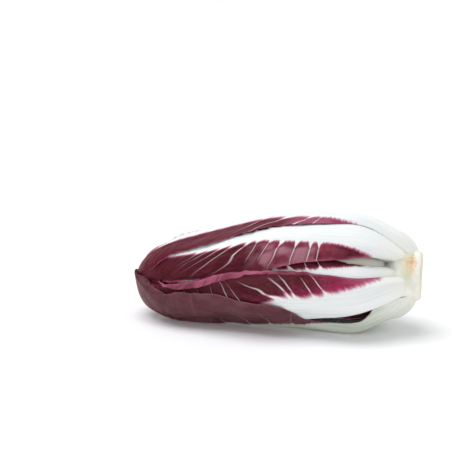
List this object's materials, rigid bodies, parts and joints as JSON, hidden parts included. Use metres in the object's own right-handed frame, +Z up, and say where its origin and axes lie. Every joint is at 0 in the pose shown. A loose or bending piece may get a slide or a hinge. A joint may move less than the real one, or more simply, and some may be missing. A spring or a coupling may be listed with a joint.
{
  "type": "treviso radicchio",
  "caption": "Long closed head of red radicchio on its side, with thick white ribs, wine-red leaf blades wrapped round a heart, and a cut stem at the root end.",
  "frame": {"origin": "centre of the bounding box at its base, on the surface that the head lies on", "axes": "+X along the head towards the cut root end, +Z up, and -Y the side that faces the viewer"},
  "size_m": [0.2178, 0.0885, 0.0877],
  "materials": {
    "leaf": "satin",
    "stem": "satin"
  },
  "bodies": {
    "root": {"stem": "stem", "heart": "leaf", "inner_leaf_front": "leaf", "inner_leaf_back": "leaf", "inner_leaf_bottom": "leaf", "middle_leaf_front": "leaf", "middle_leaf_top": "leaf", "middle_leaf_back_top": "leaf", "middle_leaf_back": "leaf", "middle_leaf_bottom": "leaf", "outer_leaf_front_upper": "leaf", "outer_leaf_front_lower": "leaf", "outer_leaf_back": "leaf", "outer_leaf_back_top": "leaf", "outer_leaf_back_low": "leaf", "outer_leaf_top": "leaf", "outer_leaf_bottom": "leaf"}
  },
  "joints": []
}
